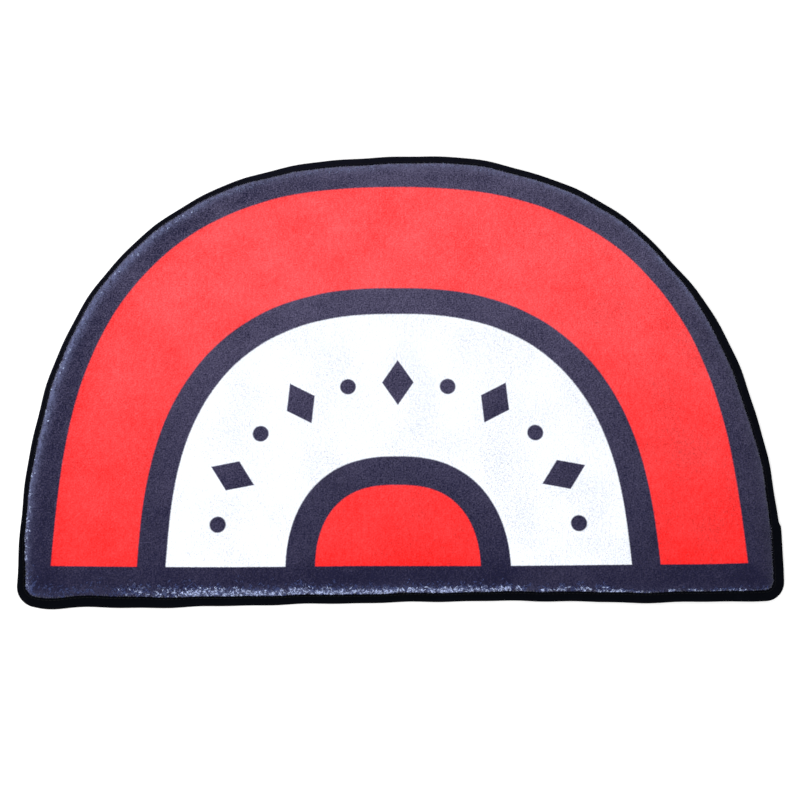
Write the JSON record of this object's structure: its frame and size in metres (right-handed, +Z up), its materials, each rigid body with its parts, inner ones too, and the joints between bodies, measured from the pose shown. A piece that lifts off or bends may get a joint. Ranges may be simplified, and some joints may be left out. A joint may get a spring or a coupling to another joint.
{
  "type": "half-round bath mat",
  "caption": "Flat half-round bath mat: a short-pile padded body printed with concentric arches, its edge bound with a folded black tape.",
  "frame": {"origin": "on the floor, under the middle of the mat's bounding box", "axes": "+X along the straight edge, +Y from the straight edge towards the crown of the arch, +Z up"},
  "size_m": [0.8004, 0.5054, 0.012],
  "materials": {
    "printed_pile": "short plush pile, printed in red, dark navy and white arches",
    "black_tape": "matt woven tape"
  },
  "bodies": {
    "root": {"pile_pad": "printed_pile", "edge_tape": "black_tape"}
  },
  "joints": []
}
